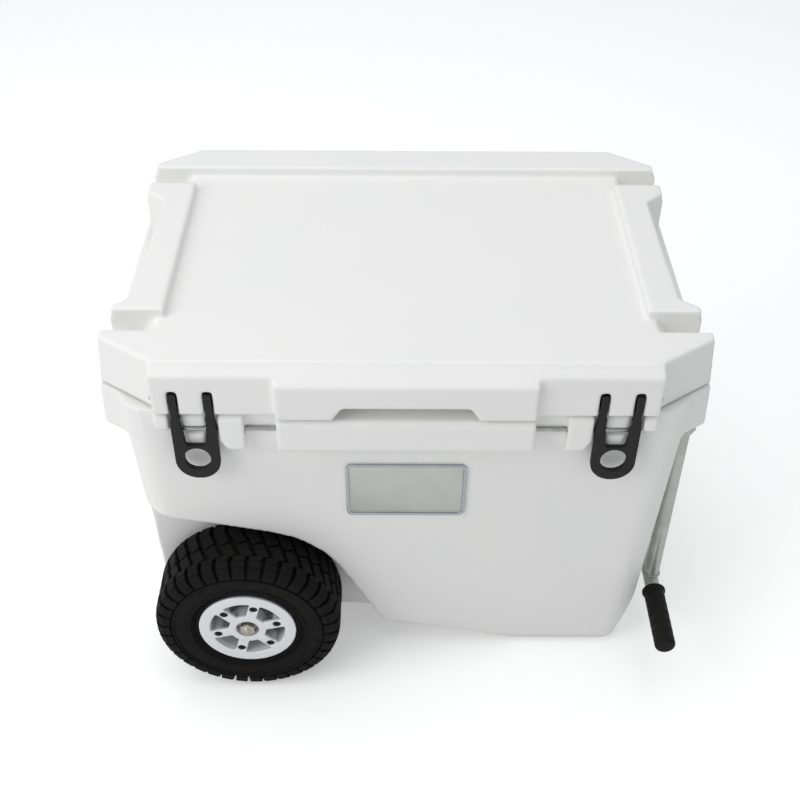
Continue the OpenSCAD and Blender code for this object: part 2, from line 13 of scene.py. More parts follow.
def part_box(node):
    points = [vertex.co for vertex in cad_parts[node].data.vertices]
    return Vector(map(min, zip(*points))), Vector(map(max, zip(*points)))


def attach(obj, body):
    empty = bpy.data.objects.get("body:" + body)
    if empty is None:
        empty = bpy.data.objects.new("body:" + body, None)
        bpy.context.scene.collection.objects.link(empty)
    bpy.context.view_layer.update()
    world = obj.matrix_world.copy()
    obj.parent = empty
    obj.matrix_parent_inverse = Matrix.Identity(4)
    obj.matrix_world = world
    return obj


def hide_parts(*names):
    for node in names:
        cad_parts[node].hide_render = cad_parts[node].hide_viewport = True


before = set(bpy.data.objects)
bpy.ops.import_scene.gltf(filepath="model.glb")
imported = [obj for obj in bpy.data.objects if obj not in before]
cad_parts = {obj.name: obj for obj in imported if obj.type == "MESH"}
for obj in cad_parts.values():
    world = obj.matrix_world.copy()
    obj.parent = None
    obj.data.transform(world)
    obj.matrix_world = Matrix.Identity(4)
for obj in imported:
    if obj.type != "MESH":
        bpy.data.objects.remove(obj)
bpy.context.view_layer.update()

MM = 0.001
MERGE_DISTANCE = 0.01 * MM
SMOOTH_ANGLE = math.radians(32)
# The colour sockets of a Mix node, which shares their names with its other types
MIX_COLOURS = (6, 7)
MIX_RESULT = 2
LOG = logging.getLogger("cooler")

Outline = Sequence[tuple[float, float]]


class Side(Enum):
    """The two sides of the cooler: the latches are at the front and the hinges at the rear."""

    FRONT = "front"
    REAR = "rear"

    @property
    def outward(self) -> int:
        """Direction along Y that leads away from the cooler on this side."""
        return -1 if self is Side.FRONT else 1


# ---- Finishes ----


def linear(hex_colour: str) -> tuple[float, float, float, float]:
    """Turn an sRGB hex colour into linear RGBA.

    Args:
        hex_colour: A colour such as "#ECECE9".

    Returns:
        The linear red, green, blue and an alpha of 1.
    """
    channels = [int(hex_colour[i : i + 2], 16) / 255 for i in (1, 3, 5)]
    curved = [c / 12.92 if c <= 0.04045 else ((c + 0.055) / 1.055) ** 2.4 for c in channels]
    return (*curved, 1.0)


def add_node(
    material: bpy.types.Material,
    kind: str,
    settings: dict[str, object] | None = None,
    inputs: dict[str, object] | None = None,
) -> bpy.types.Node:
    """Add a shader node with its settings, its constants and its links.

    Args:
        material: The material that gets the node.
        kind: The node's type name.
        settings: Node properties by name.
        inputs: Input sockets by name, each a constant or a (node, output name) pair.

    Returns:
        The new node.
    """
    tree = material.node_tree
    node = tree.nodes.new(kind)
    for key, value in (settings or {}).items():
        setattr(node, key, value)
    for key, value in (inputs or {}).items():
        socket = node.inputs[key]
        if isinstance(value, tuple) and isinstance(value[0], bpy.types.Node):
            tree.links.new(value[0].outputs[value[1]], socket)
        else:
            socket.default_value = value
    return node


@dataclass(frozen=True)
class Finish:
    """A surface finish: two close colours that drift, a roughness that drifts, and a fine grain."""

    name: str
    slot: str
    colour: str
    shade: str
    roughness: tuple[float, float]
    drift_mm: float
    grain_mm: float
    grain_depth_mm: float
    metallic: float = 0.0
    coat: float = 0.0
    shine: float = 0.5
    stretch: tuple[float, float, float] = (1.0, 1.0, 1.0)

    def material(self) -> bpy.types.Material:
        """The finish's material, which is made once."""
        known = bpy.data.materials.get(self.name)
        if known:
            return known
        material = bpy.data.materials.new(self.name)
        material.use_nodes = True
        material.node_tree.nodes.clear()
        coords = add_node(material, "ShaderNodeTexCoord")
        drift = self.drift(material, coords)
        height = self.grain(material, coords)
        base = add_node(
            material,
            "ShaderNodeMix",
            {"data_type": "RGBA"},
            {"Factor": (drift, "Result")},
        )
        for socket, colour in zip(MIX_COLOURS, (self.colour, self.shade)):
            base.inputs[socket].default_value = linear(colour)
        rough = add_node(
            material,
            "ShaderNodeMapRange",
            inputs={
                "Value": (drift, "Result"),
                "To Min": self.roughness[0],
                "To Max": self.roughness[1],
            },
        )
        bump = add_node(
            material,
            "ShaderNodeBump",
            inputs={"Height": height, "Distance": self.grain_depth_mm * MM, "Strength": 1.0},
        )
        shader = add_node(
            material,
            "ShaderNodeBsdfPrincipled",
            inputs={
                "Roughness": (rough, "Result"),
                "Normal": (bump, "Normal"),
                "Metallic": self.metallic,
                "Specular IOR Level": self.shine,
                "Coat Weight": self.coat,
                "Coat Roughness": 0.25,
            },
        )
        material.node_tree.links.new(base.outputs[MIX_RESULT], shader.inputs["Base Color"])
        add_node(material, "ShaderNodeOutputMaterial", inputs={"Surface": (shader, "BSDF")})
        return material

    def drift(self, material: bpy.types.Material, coords: bpy.types.Node) -> bpy.types.Node:
        """Slow patches from 0 to 1 that move the colour and the roughness.

        Args:
            material: The material that gets the nodes.
            coords: The texture coordinates.

        Returns:
            A node whose Result is the patch value.
        """
        noise = add_node(
            material,
            "ShaderNodeTexNoise",
            inputs={
                "Vector": (coords, "Object"),
                "Scale": 1 / (self.drift_mm * MM),
                "Detail": 3.0,
            },
        )
        return add_node(
            material,
            "ShaderNodeMapRange",
            inputs={"Value": (noise, "Fac"), "From Min": 0.3, "From Max": 0.7},
        )

    def grain(
        self, material: bpy.types.Material, coords: bpy.types.Node
    ) -> tuple[bpy.types.Node, str]:
        """The fine relief of the surface.

        Args:
            material: The material that gets the nodes.
            coords: The texture coordinates.

        Returns:
            The node and the name of its output that holds the height.
        """
        turned = add_node(
            material,
            "ShaderNodeMapping",
            inputs={
                "Vector": (coords, "Object"),
                "Scale": tuple(1 / (self.grain_mm * MM * along) for along in self.stretch),
            },
        )
        noise = add_node(
            material,
            "ShaderNodeTexNoise",
            inputs={"Vector": (turned, "Vector"), "Scale": 1.0, "Detail": 2.0},
        )
        return noise, "Fac"


@dataclass(frozen=True)
class KnurledFinish(Finish):
    """A moulded rubber with small raised dimples, as on a hand grip."""

    def grain(
        self, material: bpy.types.Material, coords: bpy.types.Node
    ) -> tuple[bpy.types.Node, str]:
        """Round dimples one grain apart.

        Args:
            material: The material that gets the nodes.
            coords: The texture coordinates.

        Returns:
            The cell pattern and its distance output.
        """
        cells = add_node(
            material,
            "ShaderNodeTexVoronoi",
            {"feature": "SMOOTH_F1"},
            {
                "Vector": (coords, "Object"),
                "Scale": 1 / (self.grain_mm * MM),
                "Randomness": 0.35,
            },
        )
        return cells, "Distance"


# White linear polyethylene, rotomoulded: satin, faintly cloudy, with the mould's fine sand-blast texture.
POLYETHYLENE = Finish(
    "rotomoulded_polyethylene", "white_polyethylene", "#ECECE9", "#EAEAE8", (0.38, 0.46),
    120, 0.9, 0.012,
)
# Polyurethane foam core: cream, matt, with open cells where it is cut.
FOAM = KnurledFinish("poured_foam", "insulating_foam", "#E8D9A8", "#DCC98F", (0.85, 0.95), 25, 1.6, 0.4)
# EPDM latch rubber: near-black, matt, with a soft skin from the mould.
LATCH_RUBBER = Finish(
    "moulded_latch_rubber", "black_latch_rubber", "#111210", "#171815", (0.5, 0.65), 14, 0.5, 0.02, shine=0.35
)
# Drawn stainless steel rod: bright, with fine lines along its length.
STAINLESS = Finish(
    "drawn_stainless", "stainless_steel", "#C4C5C4", "#B2B3B1", (0.2, 0.32), 9, 0.25, 0.006,
    metallic=1.0, stretch=(40.0, 1.0, 1.0),
)
# Bright zinc plate: slightly warm and mottled.
ZINC = Finish(
    "bright_zinc_plate", "zinc_plated_steel", "#C9C5BA", "#A9A499", (0.24, 0.42), 4, 0.4, 0.01, metallic=1.0
)
# Anodised aluminium tube: even grey with a fine drawn grain along the legs.
HANDLE_TUBE = Finish(
    "anodised_tube", "silver_handle_tube", "#C6C9C4", "#B9BCB7", (0.34, 0.46), 18, 0.35, 0.012,
    metallic=0.85, stretch=(1.0, 1.0, 30.0),
)
# Weld bead on the tube: brighter, rippled and uneven.
WELD = Finish(
    "weld_bead", "silver_handle_tube", "#BFC1BD", "#9C9E99", (0.3, 0.5), 3, 1.1, 0.18, metallic=0.85
)
# Silver lacquer on a die-cast rim: pale metallic flake under a thin coat.
RIM_PAINT = Finish(
    "silver_lacquer", "silver_painted_rim", "#E9EAEC", "#DFE1E4", (0.3, 0.38), 0.7, 0.5, 0.006,
    metallic=0.25, coat=0.35,
)
# Chrome plate: a mirror with a trace of haze.
CHROME = Finish(
    "chrome_plate", "chrome_badge_frame", "#B9BDC1", "#AEB3B8", (0.09, 0.16), 6, 0.6, 0.002, metallic=1.0
)
# Brushed aluminium plate: lines along its length, 0.3 mm apart so that they show.
BADGE_PLATE = Finish(
    "brushed_plate", "brushed_badge_plate", "#CBCEC7", "#C5C8C1", (0.36, 0.44), 30, 0.3, 0.012,
    metallic=0.8, stretch=(60.0, 1.0, 1.0),
)
# Black tyre rubber: matt, a little dusty, with a sandy skin.
TYRE = Finish(
    "tyre_tread_rubber", "tyre_rubber", "#0A0A09", "#10100E", (0.6, 0.8), 7, 0.7, 0.05, shine=0.16
)
# Grip rubber: black with moulded dimples 1.6 mm apart.
GRIP = KnurledFinish(
    "dimpled_grip_rubber", "grip_rubber", "#0C0C0A", "#12120F", (0.55, 0.7), 12, 1.6, 0.12, shine=0.22
)
# Black oxide on the rim's socket screws: dark, with a thin oily sheen.
BLACK_OXIDE = Finish(
    "black_oxide", "zinc_plated_steel", "#1C1C1A", "#2A2A28", (0.4, 0.55), 3, 0.4, 0.01, metallic=0.6
)
# Grey silicone seal.
SEAL = Finish("silicone_seal", "seal_rubber", "#9A9C9B", "#8E908F", (0.5, 0.6), 20, 0.6, 0.01)
# Butyl inner tube and valve stem: black with a faint bloom.
BUTYL = Finish("butyl_tube", "seal_rubber", "#232322", "#2E2E2D", (0.5, 0.65), 15, 0.6, 0.02)
# Moulded nylon: black with a spark-eroded texture.
NYLON = Finish("moulded_nylon", "black_nylon", "#1A1B1B", "#222323", (0.42, 0.55), 10, 0.5, 0.02)


# ---- Modelling helpers ----


def deselect_all() -> None:
    """Leave edit mode and select nothing."""
    active = bpy.context.view_layer.objects.active
    if active and active.mode != "OBJECT":
        bpy.ops.object.mode_set(mode="OBJECT")
    bpy.ops.object.select_all(action="DESELECT")


def activate(piece: bpy.types.Object) -> None:
    """Make the piece the only selected object and the active one."""
    deselect_all()
    piece.select_set(True)
    bpy.context.view_layer.objects.active = piece


def named(name: str) -> bpy.types.Object:
    """Name the active object and return it."""
    piece = bpy.context.view_layer.objects.active
    piece.name = name
    piece.data.name = name
    return piece


def apply_modifier(piece: bpy.types.Object, kind: str, **settings: object) -> None:
    """Add a modifier with the given settings and apply it.

    Args:
        piece: The object to change.
        kind: The modifier's type.
        **settings: The modifier's properties.
    """
    activate(piece)
    modifier = piece.modifiers.new(kind, kind)
    for key, value in settings.items():
        setattr(modifier, key, value)
    bpy.ops.object.modifier_apply(modifier=modifier.name)


def edit_all(piece: bpy.types.Object) -> None:
    """Enter edit mode on the piece with its whole mesh selected."""
    activate(piece)
    bpy.ops.object.mode_set(mode="EDIT")
    bpy.ops.mesh.select_all(action="SELECT")


def end_edit() -> None:
    """Return to object mode."""
    bpy.ops.object.mode_set(mode="OBJECT")


def mend(piece: bpy.types.Object) -> None:
    """Merge doubled points and turn every face outwards."""
    edit_all(piece)
    bpy.ops.mesh.remove_doubles(threshold=MERGE_DISTANCE)
    bpy.ops.mesh.normals_make_consistent(inside=False)
    end_edit()


def place(piece: bpy.types.Object, spot: Vector, turn: Euler = Euler()) -> None:
    """Turn the piece about the origin, move it, and keep the place in its mesh.

    Args:
        piece: The object to place.
        spot: Where its origin goes.
        turn: How it is turned first.
    """
    piece.data.transform(Matrix.Translation(spot) @ turn.to_matrix().to_4x4())


def join(pieces: Sequence[bpy.types.Object], name: str) -> bpy.types.Object:
    """Join objects into the first one.

    Args:
        pieces: The objects, of which the first one is kept.
        name: The joined object's name.

    Returns:
        The joined object.
    """
    deselect_all()
    for piece in pieces:
        piece.select_set(True)
    bpy.context.view_layer.objects.active = pieces[0]
    bpy.ops.object.join()
    return named(name)


def copied(piece: bpy.types.Object, name: str) -> bpy.types.Object:
    """A copy of the piece with its own mesh."""
    twin = bpy.data.objects.new(name, piece.data.copy())
    bpy.context.scene.collection.objects.link(twin)
    return twin


def box_block(size: Vector, spot: Vector, turn: Euler, edge: float) -> bpy.types.Object:
    """A block with softened edges.

    Args:
        size: Its three lengths.
        spot: Its middle.
        turn: Its turn about its middle.
        edge: The width of its bevelled edges.

    Returns:
        The block.
    """
    deselect_all()
    bpy.ops.mesh.primitive_cube_add(size=1, location=spot, rotation=turn, scale=size)
    block = named("block")
    bpy.ops.object.transform_apply(location=True, rotation=True, scale=True)
    edit_all(block)
    bpy.ops.mesh.bevel(offset=edge, offset_type="OFFSET", segments=1, affect="EDGES")
    end_edit()
    return block


def turned(name: str, outline: Outline, steps: int, closed: bool = True) -> bpy.types.Object:
    """A piece turned round the Y axis, like work on a lathe.

    Args:
        name: The piece's name.
        outline: Points of (distance from the axis, place along Y).
        steps: Facets in a full turn.
        closed: Whether the outline's last point joins its first.

    Returns:
        The turned piece, at the origin.
    """
    mesh = bpy.data.meshes.new(name)
    points = [(0.0, along, reach) for reach, along in outline]
    edges = [(i, i + 1) for i in range(len(points) - 1)]
    if closed:
        edges.append((len(points) - 1, 0))
    mesh.from_pydata(points, edges, [])
    piece = bpy.data.objects.new(name, mesh)
    bpy.context.scene.collection.objects.link(piece)
    edit_all(piece)
    bpy.ops.mesh.spin(steps=steps, angle=math.tau, center=(0, 0, 0), axis=(0, 1, 0))
    end_edit()
    mend(piece)
    return piece


def ring_of(piece: bpy.types.Object, count: int) -> None:
    """Repeat the piece's whole mesh in a ring about the Y axis."""
    edit_all(piece)
    bpy.ops.mesh.spin(
        steps=count, dupli=True, angle=math.tau, center=(0, 0, 0), axis=(0, 1, 0), use_auto_merge=False
    )
    end_edit()
    edit_all(piece)
    bpy.ops.mesh.remove_doubles(threshold=MERGE_DISTANCE)
    end_edit()


def merged_copy(node: str, name: str) -> bpy.types.Object:
    """A copy of a CAD node with its loose triangles merged.

    Args:
        node: The CAD node.
        name: The copy's name.

    Returns:
        The copy, a new object at the origin.
    """
    piece = copied(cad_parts[node], name)
    piece.data.materials.clear()
    edit_all(piece)
    bpy.ops.mesh.remove_doubles(threshold=MERGE_DISTANCE)
    bpy.ops.mesh.dissolve_degenerate(threshold=MERGE_DISTANCE)
    end_edit()
    return piece


def keep_outer_skin(piece: bpy.types.Object) -> None:
    """Delete the closed surfaces that lie inside the piece, such as a foam space's."""
    edit_all(piece)
    bpy.ops.mesh.separate(type="LOOSE")
    end_edit()
    parts = sorted(bpy.context.selected_objects, key=lambda part: part.dimensions.length)
    outer = parts.pop()
    if outer is not piece:
        piece.data = outer.data
        parts = [part for part in parts if part is not piece] + [outer]
    for part in parts:
        bpy.data.objects.remove(part)


def crisp_copy(node: str, name: str, edge: float) -> bpy.types.Object:
    """A copy of a small CAD node with its sharp edges broken, as machining or moulding leaves them.

    Args:
        node: The CAD node.
        name: The copy's name.
        edge: The width of the broken edges.

    Returns:
        The copy.
    """
    piece = merged_copy(node, name)
    edit_all(piece)
    bpy.ops.mesh.dissolve_limited(angle_limit=math.radians(1))
    end_edit()
    apply_modifier(
        piece, "BEVEL", width=edge, segments=2, limit_method="ANGLE", angle_limit=SMOOTH_ANGLE
    )
    return piece


def soft_copy(node: str, name: str, voxel: float, passes: int, faces: int) -> bpy.types.Object:
    """A copy of a CAD node with every edge rounded, as a mould or a casting leaves it.

    Args:
        node: The CAD node.
        name: The copy's name.
        voxel: Cell size of the remesh.
        passes: Smoothing passes, which set the rounding.
        faces: The most triangles that are kept.

    Returns:
        The copy.
    """
    piece = merged_copy(node, name)
    keep_outer_skin(piece)
    apply_modifier(piece, "REMESH", mode="VOXEL", voxel_size=voxel, adaptivity=0.0)
    apply_modifier(piece, "SMOOTH", factor=0.5, iterations=passes)
    triangles = 2 * len(piece.data.polygons)
    if triangles > faces:
        apply_modifier(piece, "DECIMATE", decimate_type="COLLAPSE", ratio=faces / triangles)
    return piece


def finish_piece(
    piece: bpy.types.Object,
    finish: Finish,
    body: str,
    replaced: Sequence[str] = (),
    angle: float = SMOOTH_ANGLE,
) -> bpy.types.Object:
    """Shade, dress and fix a finished piece to its body.

    Args:
        piece: The piece, with its place in its mesh.
        finish: Its finish.
        body: The CAD body that it rides on.
        replaced: The CAD nodes that it stands for.
        angle: The angle past which an edge stays sharp.

    Returns:
        The piece.
    """
    activate(piece)
    bpy.ops.object.transform_apply(location=True, rotation=True, scale=True)
    bpy.ops.object.shade_smooth_by_angle(angle=angle)
    piece.data.materials.clear()
    piece.data.materials.append(finish.material())
    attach(piece, body)
    if replaced:
        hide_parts(*replaced)
    LOG.info("%s: %d faces on %s", piece.name, len(piece.data.polygons), body)
    return piece


def dress_node(node: str, finish: Finish) -> None:
    """Give a CAD node that stays its finish."""
    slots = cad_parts[node].data.materials
    slots.clear()
    slots.append(finish.material())


# ---- Shells ----


@dataclass
class MouldedShells:
    """The tub and the lid: rotomoulded skins with soft edges."""

    voxel: float = 2.2 * MM
    passes: int = 4
    most_faces: int = 190_000

    def build(self) -> None:
        """Model both shells and dress what they hold."""
        for body in ("tub", "lid"):
            shell = soft_copy(f"{body}_shell", f"{body}_skin", self.voxel, self.passes, self.most_faces)
            finish_piece(shell, POLYETHYLENE, body, [f"{body}_shell"], math.pi)
        for node, finish in (
            ("tub_foam", FOAM),
            ("lid_foam", FOAM),
            ("lid_gasket", SEAL),
            ("hinge_rods", STAINLESS),
            ("keeper_rods", STAINLESS),
            ("latch_pins", STAINLESS),
        ):
            dress_node(node, finish)


@dataclass
class Latches:
    """The two T-shaped rubber latches, moulded with rounded edges."""

    voxel: float = 0.9 * MM
    passes: int = 4
    most_faces: int = 40_000
    shrink: float = 0.3 * MM

    def build(self) -> None:
        """Model both latches, a little slimmer than their slots in the lid so that they swing clear."""
        for node in ("latch_left", "latch_right"):
            latch = soft_copy(node, f"{node}_rubber", self.voxel, self.passes, self.most_faces)
            apply_modifier(latch, "DISPLACE", strength=-self.shrink, mid_level=0.0)
            finish_piece(latch, LATCH_RUBBER, node, [node], math.pi)


# ---- Badge and drain ----


@dataclass
class Badge:
    """A blank badge: a bright frame round a brushed plate."""

    frame_edge: float = 1.3 * MM
    plate_edge: float = 0.3 * MM

    def build(self) -> None:
        """Model the frame and the plate."""
        surround = crisp_copy("badge_frame", "badge_surround", self.frame_edge)
        finish_piece(surround, CHROME, "tub", ["badge_frame"])
        plate = crisp_copy("badge_plate", "badge_face", self.plate_edge)
        finish_piece(plate, BADGE_PLATE, "tub", ["badge_plate"])


@dataclass
class Fittings:
    """Small machined and moulded fittings whose edges are broken."""

    edge: float = 0.5 * MM

    def build(self) -> None:
        """Model each fitting."""
        for node, name, finish, body, edge in (
            ("drain_bush", "drain_flange", NYLON, "tub", self.edge),
            ("drain_washer", "drain_seal", SEAL, "tub", self.edge / 2),
            ("drain_plug", "drain_cap", NYLON, "drain_plug", 2 * self.edge),
            ("handle_brackets", "pivot_brackets", HANDLE_TUBE, "tub", self.edge),
            ("bracket_screws", "bracket_screw_heads", STAINLESS, "tub", self.edge),
            ("handle_pivot_bolts", "pivot_bolt_heads", STAINLESS, "tub", self.edge),
            ("pivot_lock_nuts", "pivot_hex_nuts", STAINLESS, "tub", self.edge),
            ("axle_washers", "axle_flat_washers", ZINC, "tub", self.edge / 2),
        ):
            finish_piece(crisp_copy(node, name, edge), finish, body, [node])


# ---- Tow handle ----


@dataclass
class TowHandle:
    """The swing-down handle: a welded tube frame with two rubber grips."""

    bead: float = 1.7 * MM
    weld_inset: float = 0.5 * MM
    grip_rings: int = 5
    grip_first_ring: float = 9 * MM
    grip_ends: float = 26 * MM
    grip_wall: float = 5.4 * MM
    grip_flange: float = 2 * MM
    grip_cap: float = 6 * MM
    grip_rounding: float = 5 * MM

    def build(self) -> None:
        """Model the weld beads and the grips."""
        dress_node("handle_frame", HANDLE_TUBE)
        dress_node("handle_bushes", NYLON)
        low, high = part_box("handle_frame")
        tube = (high.x - low.x) / 2
        cross = Vector(((low.x + high.x) / 2, 0, low.z + tube))
        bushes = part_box("handle_bushes")
        leg = bushes[1].y - tube - self.weld_inset
        for side in Side:
            self.weld_bead(side, cross + Vector((0, side.outward * leg, tube)), tube)
            self.grip(side, cross)

    def weld_bead(self, side: Side, spot: Vector, tube: float) -> None:
        """Model the weld round a leg's foot.

        Args:
            side: Which leg.
            spot: The foot of the leg on the cross tube.
            tube: The tube's radius.
        """
        deselect_all()
        bpy.ops.mesh.primitive_torus_add(
            major_radius=tube,
            minor_radius=self.bead,
            major_segments=64,
            minor_segments=12,
            location=spot,
        )
        bead = named(f"weld_{side.value}")
        finish_piece(bead, WELD, "tow_handle", angle=math.pi)

    def grip(self, side: Side, cross: Vector) -> None:
        """Model a grip with a flange, raised rings and a rounded end.

        Args:
            side: Which grip.
            cross: The middle of the cross tube.
        """
        node = f"grip_{side.value}"
        low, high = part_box(node)
        flange = (high.z - low.z) / 2
        length = high.y - low.y
        body = flange - self.grip_flange
        hollow = body - 0.5 * MM
        bore = flange - self.grip_wall
        ring_pitch = (length - self.grip_ends) / self.grip_rings
        outline = [(bore, 0.0), (flange - 0.8 * MM, 0.0), (flange, 0.8 * MM), (flange, 3.2 * MM)]
        outline += [(body + 0.4 * MM, 4.4 * MM), (hollow, 7 * MM)]
        for ring in range(self.grip_rings):
            start = self.grip_first_ring + ring * ring_pitch
            end = start + ring_pitch - 1.5 * MM
            outline += [(hollow, start), (body, start + 1 * MM), (body, end - 1 * MM), (hollow, end)]
        rounding = self.grip_rounding
        outline += [(body, length - 14 * MM), (body, length - rounding)]
        for step in range(1, 6):
            angle = math.radians(18 * step)
            outline.append(
                (body - rounding * (1 - math.cos(angle)), length - rounding * (1 - math.sin(angle)))
            )
        inner_end = length - self.grip_cap
        outline += [(0.0, length - 0.3 * MM), (0.0, inner_end), (bore, inner_end)]
        grip = turned(f"{node}_sleeve", outline, 72)
        half_turn = Euler((0, 0, math.pi if side is Side.FRONT else 0))
        start = low.y if side is Side.REAR else high.y
        place(grip, Vector((cross.x, start, cross.z)), half_turn)
        finish_piece(grip, GRIP, "tow_handle", [node])


# ---- Wheels ----


@dataclass
class Wheel:
    """One wheel: a knobby tyre on a split cast rim, with its hub fittings."""

    side: Side
    pitches: int = 36
    groove: float = 5.4 * MM
    lug_gap: float = 5.2 * MM
    lug_depth: float = 7.5 * MM
    lug_edge: float = 0.7 * MM
    steep_twist: float = 20.0
    narrowing: float = 0.86
    rib_count: int = 108
    rim_voxel: float = 1.1 * MM
    rim_passes: int = 3
    rim_faces: int = 90_000
    bolt_edge: float = 0.35 * MM
    stem_reach: float = 36 * MM
    stem_angle: float = math.radians(-15)
    stem_end: float = 24 * MM

    def __post_init__(self) -> None:
        """Read the wheel's place and size from the frame."""
        low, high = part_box(f"tyre_{self.side.value}")
        self.middle = (low + high) / 2
        self.radius = (high.z - low.z) / 2
        self.half = (high.y - low.y) / 2
        self.body = f"wheel_{self.side.value}"
        self.turn = Euler((0, 0, math.pi if self.side is Side.FRONT else 0))

    def build(self) -> None:
        """Model the tyre, the rim and the fittings of this wheel."""
        word = self.side.value
        finish_piece(self.tyre(), TYRE, self.body, [f"tyre_{word}"], math.radians(40))
        for node in ("rim_face", "rim_back"):
            rim = soft_copy(
                f"{node}_{word}",
                f"{node}_{word}_casting",
                self.rim_voxel,
                self.rim_passes,
                self.rim_faces,
            )
            finish_piece(rim, RIM_PAINT, self.body, [f"{node}_{word}"], math.pi)
        for node in ("rim_bolts", "rim_nuts"):
            heads = crisp_copy(f"{node}_{word}", f"{node}_{word}_heads", self.bolt_edge)
            finish_piece(heads, BLACK_OXIDE, self.body, [f"{node}_{word}"])
        dress_node(f"inner_tube_{word}", BUTYL)
        dress_node(f"bearings_{word}", STAINLESS)
        dress_node(f"hub_spacer_{word}", STAINLESS)
        self.valve_cap()

    def side_outline(self) -> list[tuple[float, float]]:
        """Half of the tyre's section, from the inside of the bead to the middle of the tread."""
        half, top = self.half, self.radius
        return [
            (51 * MM, 20 * MM),
            (51 * MM, half - 7.6 * MM),
            (60.6 * MM, half - 7.6 * MM),
            (61.2 * MM, half - 5.2 * MM),
            (63 * MM, half - 4.2 * MM),
            (70 * MM, half - 2.4 * MM),
            (71 * MM, half - 0.9 * MM),
            (72.6 * MM, half - 0.8 * MM),
            (73.6 * MM, half - 2.3 * MM),
            (82 * MM, half - 1.4 * MM),
            (90 * MM, half - 1.8 * MM),
            (91 * MM, half - 0.1 * MM),
            (92.6 * MM, half - 0.2 * MM),
            (93.6 * MM, half - 3.2 * MM),
            (100 * MM, half - 5.0 * MM),
            (top - 9.5 * MM, half - 8.5 * MM),
            (top - 6.6 * MM, half - 14 * MM),
            (top - self.groove, half - 22 * MM),
            (top - self.groove, 0.0),
        ]

    def tyre(self) -> bpy.types.Object:
        """Model the tyre: a turned casing with a ring of tread blocks and side ribs."""
        outer = self.side_outline()
        lining = [
            (self.radius - 11 * MM, self.half - 24 * MM),
            (92 * MM, self.half - 8 * MM),
            (78 * MM, self.half - 7.5 * MM),
            (66 * MM, self.half - 10.5 * MM),
            (58 * MM, 20 * MM),
        ]
        outline = outer + [(r, -s) for r, s in reversed(outer[:-1])]
        outline += [(r, -s) for r, s in reversed(lining)] + lining
        casing = turned("casing", outline, 144)
        tread = self.tread()
        ribs = self.side_ribs()
        tyre = join([casing, tread, ribs], f"tyre_{self.side.value}_tread")
        place(tyre, self.middle, self.turn)
        return tyre

    def tread(self) -> bpy.types.Object:
        """Model one pitch of the tread, with a hooked lug on each side, and repeat it round the tyre."""
        top, half = self.radius, self.half
        pitch = math.tau / self.pitches
        lug = math.tau * top / self.pitches - self.lug_gap
        thick = self.lug_depth
        # Each block: its length along the axle, the middle of its outer face (out along the axle, up
        # from it), its tilt and twist in degrees, and its shift round the tyre in pitches
        blocks = (
            (22.0 * MM, 11.5 * MM, top - 0.1 * MM, 0.0, 27.0, -0.1),
            (8.4 * MM, 24.4 * MM, top - 0.1 * MM, -2.0, 6.0, 0.16),
            (8.2 * MM, 32.8 * MM, top - 1.6 * MM, -18.0, 0.0, 0.16),
            (9.8 * MM, half - 3.1 * MM, top - 7.6 * MM, -60.0, 0.0, 0.16),
            (7.6 * MM, half - 0.7 * MM, top - 15.6 * MM, -82.0, 0.0, 0.16),
        )
        made = []
        for mirrored in (False, True):
            for length, out, up, tilt, twist, shift in blocks:
                tilt_turn = Euler((math.radians(tilt), 0, 0)).to_matrix()
                twist_turn = Euler((0, 0, math.radians(twist))).to_matrix()
                turn = (tilt_turn @ twist_turn).to_euler()
                middle = Vector((0, out, up)) - tilt_turn @ Vector((0, 0, thick / 2))
                width = lug if twist < self.steep_twist else self.narrowing * lug
                block = box_block(Vector((width, length, thick)), middle, turn, self.lug_edge)
                swing = Matrix.Rotation(pitch * (shift + (0.5 if mirrored else 0)), 4, "Y")
                flip = Matrix.Rotation(math.pi, 4, "Z") if mirrored else Matrix.Identity(4)
                block.data.transform(swing @ flip)
                made.append(block)
        tread = join(made, "tread")
        ring_of(tread, self.pitches)
        return tread

    def side_ribs(self) -> bpy.types.Object:
        """Model the fine radial ribs beside the rim, which lean with the sidewall."""
        lean = math.atan2(2.4, 7)
        rib = box_block(
            Vector((1.3 * MM, 2.4 * MM, 6.2 * MM)),
            Vector((0, self.half - 3.4 * MM, 66.4 * MM)),
            Euler((-lean, 0, 0)),
            0.25 * MM,
        )
        ring_of(rib, self.rib_count)
        return rib

    def valve_cap(self) -> None:
        """Model the cap on the valve stem."""
        cap = turned(
            f"valve_cap_{self.side.value}",
            [
                (0, 0),
                (3.6 * MM, 0),
                (3.9 * MM, 0.6 * MM),
                (3.9 * MM, 7 * MM),
                (3.2 * MM, 8.6 * MM),
                (0, 9 * MM),
            ],
            24,
            closed=False,
        )
        spot = Vector(
            (
                self.stem_reach * math.cos(self.stem_angle),
                self.side.outward * self.stem_end,
                self.stem_reach * math.sin(self.stem_angle),
            )
        )
        place(cap, self.middle + spot, self.turn)
        finish_piece(cap, NYLON, self.body)


